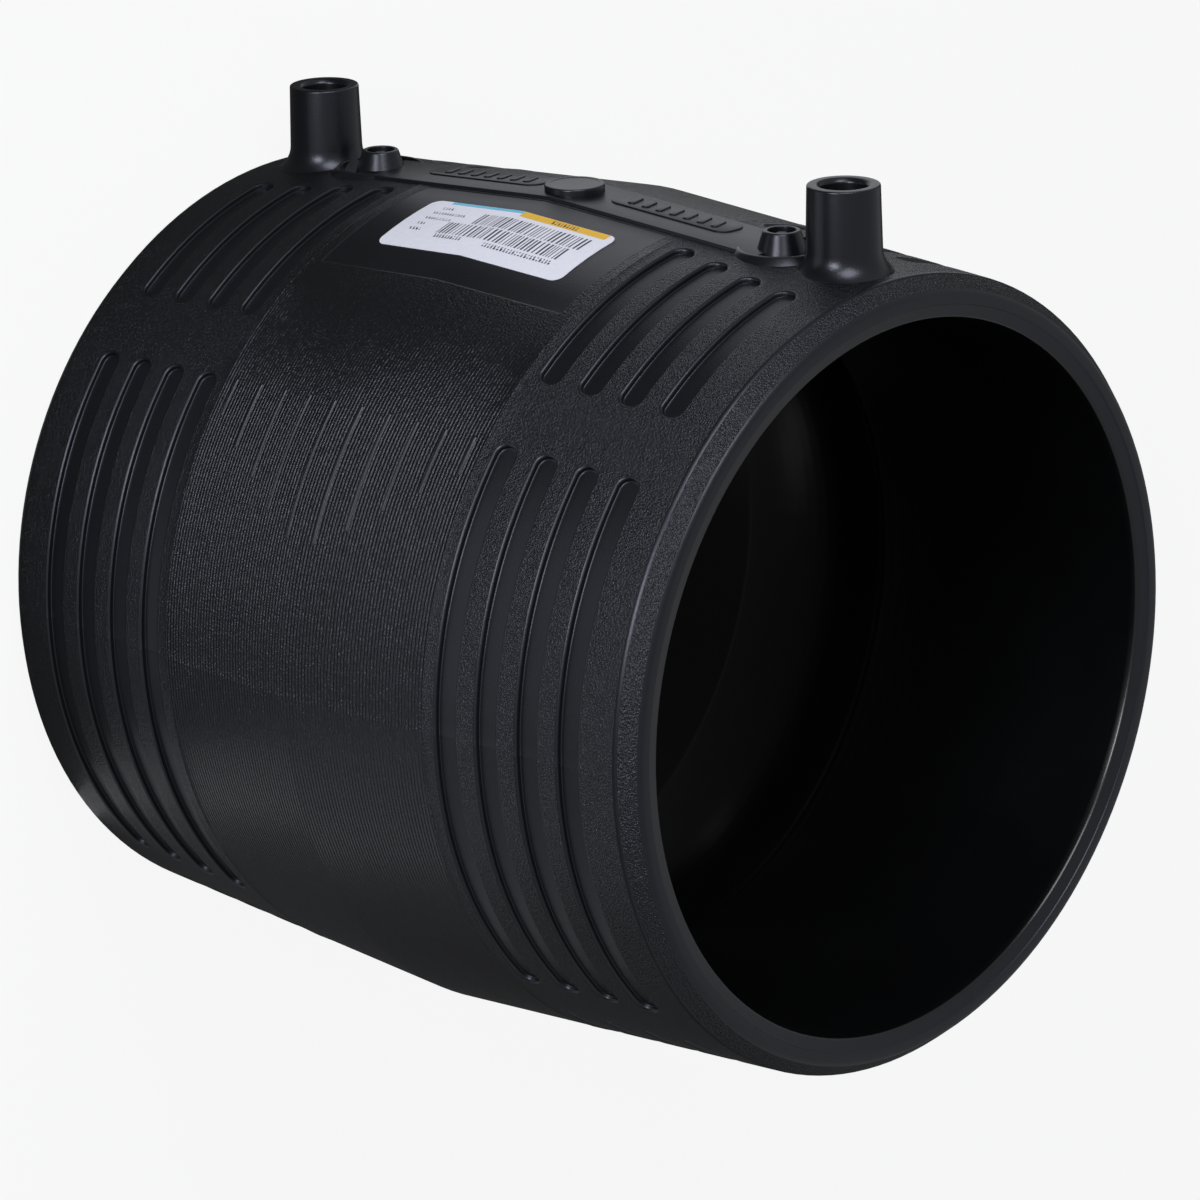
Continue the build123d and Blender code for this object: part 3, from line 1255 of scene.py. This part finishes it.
@dataclass
class Studio:
    """Pale floor, soft lamps and the camera."""

    camera_at: tuple[float, float, float] = (-0.4085, -0.9310, 1.0000)
    camera_turn: tuple[float, float, float] = (-16.12, -46.50, 88.03)
    lens: float = 176.2
    floor_half: float = 3.0
    surround: float = 0.14
    surround_mirrored: float = 0.40
    floor_tone: float = 0.05
    floor_paper: float = 0.80
    floor_glow: float = 0.90
    floor_mirrored: float = 0.05

    def build(self) -> None:
        """Set up the camera, the floor, the world and the lamps."""
        self._camera()
        self._floor()
        self._world()
        self._lamps()
        bpy.context.scene.view_settings.view_transform = "Standard"

    def _camera(self) -> None:
        """The camera."""
        data = bpy.data.cameras.new("camera")
        data.lens = self.lens
        data.sensor_width = 36.0
        data.clip_end = 20.0
        camera = bpy.data.objects.new("camera", data)
        camera.location = self.camera_at
        camera.rotation_euler = Euler([math.radians(angle) for angle in self.camera_turn], "XYZ")
        bpy.context.scene.collection.objects.link(camera)
        bpy.context.scene.camera = camera

    def _floor(self) -> None:
        """The floor that the coupler stands on."""
        bm = bmesh.new()
        bmesh.ops.create_grid(bm, x_segments=1, y_segments=1, size=self.floor_half)
        mesh = bpy.data.meshes.new("floor")
        bm.to_mesh(mesh)
        bm.free()
        floor = bpy.data.objects.new("floor", mesh)
        bpy.context.scene.collection.objects.link(floor)
        material = bpy.data.materials.new("floor_paper")
        material.use_nodes = True
        tree = material.node_tree
        tree.nodes.clear()
        paper = tree.nodes.new("ShaderNodeBsdfDiffuse")
        white = tree.nodes.new("ShaderNodeEmission")
        path = tree.nodes.new("ShaderNodeLightPath")
        seen = Wire(tree, path.outputs["Is Camera Ray"])
        mirrored = Wire(tree, path.outputs["Is Glossy Ray"]) + Wire(tree, path.outputs["Is Transmission Ray"])
        tone = seen * (self.floor_paper - self.floor_tone) + self.floor_tone
        share = seen * self.floor_glow + mirrored * self.floor_mirrored
        mix = tree.nodes.new("ShaderNodeMixShader")
        output = tree.nodes.new("ShaderNodeOutputMaterial")
        tree.links.new(tone.socket, paper.inputs["Color"])
        tree.links.new(share.socket, mix.inputs[0])
        tree.links.new(paper.outputs[0], mix.inputs[1])
        tree.links.new(white.outputs[0], mix.inputs[2])
        tree.links.new(mix.outputs[0], output.inputs["Surface"])
        mesh.materials.append(material)

    def _world(self) -> None:
        """A dim even surround that the camera sees as white."""
        world = bpy.data.worlds.new("surround")
        world.use_nodes = True
        bpy.context.scene.world = world
        tree = world.node_tree
        tree.nodes.clear()
        dim = tree.nodes.new("ShaderNodeBackground")
        dim.inputs["Color"].default_value = (0.88, 0.91, 1.0, 1.0)
        dim.inputs["Strength"].default_value = self.surround
        white = tree.nodes.new("ShaderNodeBackground")
        white.inputs["Strength"].default_value = 1.0
        path = tree.nodes.new("ShaderNodeLightPath")
        mirrored = Wire(tree, path.outputs["Is Glossy Ray"]) + Wire(tree, path.outputs["Is Transmission Ray"])
        share = Wire(tree, path.outputs["Is Camera Ray"]) + mirrored * self.surround_mirrored
        mix = tree.nodes.new("ShaderNodeMixShader")
        output = tree.nodes.new("ShaderNodeOutputWorld")
        tree.links.new(share.socket, mix.inputs[0])
        tree.links.new(dim.outputs[0], mix.inputs[1])
        tree.links.new(white.outputs[0], mix.inputs[2])
        tree.links.new(mix.outputs[0], output.inputs["Surface"])

    @staticmethod
    def _lamp(name: str, at: tuple, size: tuple, glow: float, aim: tuple = (0, 0, 0.1)) -> None:
        """One soft box.

        Args:
            name: The lamp's name.
            at: Where it stands.
            size: Its two sides.
            glow: Its brightness as seen, where 1 is white.
            aim: What it points at.
        """
        data = bpy.data.lights.new(name, "AREA")
        data.shape = "RECTANGLE"
        data.size, data.size_y = size
        data.energy = glow * math.pi * size[0] * size[1]
        data.color = (0.94, 0.95, 1.0)
        lamp = bpy.data.objects.new(name, data)
        lamp.location = at
        lamp.rotation_euler = (Vector(aim) - Vector(at)).to_track_quat("-Z", "Y").to_euler()
        lamp.visible_camera = False
        bpy.context.scene.collection.objects.link(lamp)

    def _lamps(self) -> None:
        """A soft box on the terminals' side and pale cards on the floor round the coupler."""
        self._lamp("key", (-1.2, -0.5, 0.9), (0.8, 0.8), 6.0)
        self._lamp("front", (-0.57, -1.22, 0.42), (0.46, 0.46), 12.0)
        for name, x, y, side, glow in (
            ("card_front", -0.07, -0.25, 0.24, 0.60),
            ("card_right", 0.22, -0.24, 0.34, 0.34),
            ("card_behind", -0.30, 0.22, 0.38, 0.65),
            ("card_far_mouth", 0.058, 0.018, 0.036, 0.12),
            ("card_near_mouth", -0.056, 0.043, 0.022, 0.14),
        ):
            self._lamp(name, (x, y, 0.003), (side, side), glow, (x, y, 1.0))


def dress_nodes() -> None:
    """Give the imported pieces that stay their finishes."""
    brass = TurnedMetal("brass", (0.62, 0.44, 0.19, 1.0)).build()
    wire = TurnedMetal("wire", (0.60, 0.30, 0.16, 1.0), 0.35).build()
    black = BlackPolyethylene("indicator_black", roughness=0.36).build()
    for node, material in {
        "terminal_pin_lower": brass,
        "terminal_pin_upper": brass,
        "heating_wire": wire,
        "fusion_indicator_lower": black,
        "fusion_indicator_upper": black,
    }.items():
        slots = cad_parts[node].data.materials
        slots.clear()
        slots.append(material)


def main() -> None:
    """Build the pieces in order."""
    logging.basicConfig(level=logging.INFO)
    barrel = Barrel()
    moulding = Moulding(barrel).build()
    for finish in (
        BlackPolyethylene("body_grained", roughness=0.25, grain_depth=0.00055),
        BlackPolyethylene("body_combed", roughness=0.23, grain_depth=0.00034, comb_depth=0.00028),
        BlackPolyethylene("body_smooth", roughness=0.35, grain_depth=0.00003, flow_depth=0.00003),
        PolishedBore("body_bore"),
        BlackPolyethylene("body_polished", roughness=0.29, grain_depth=0.00002, flow_depth=0.00002),
    ):
        moulding.data.materials.append(finish.build())
    Label(barrel).build()
    dress_nodes()
    Studio().build()


if __name__ == "__main__":
    main()
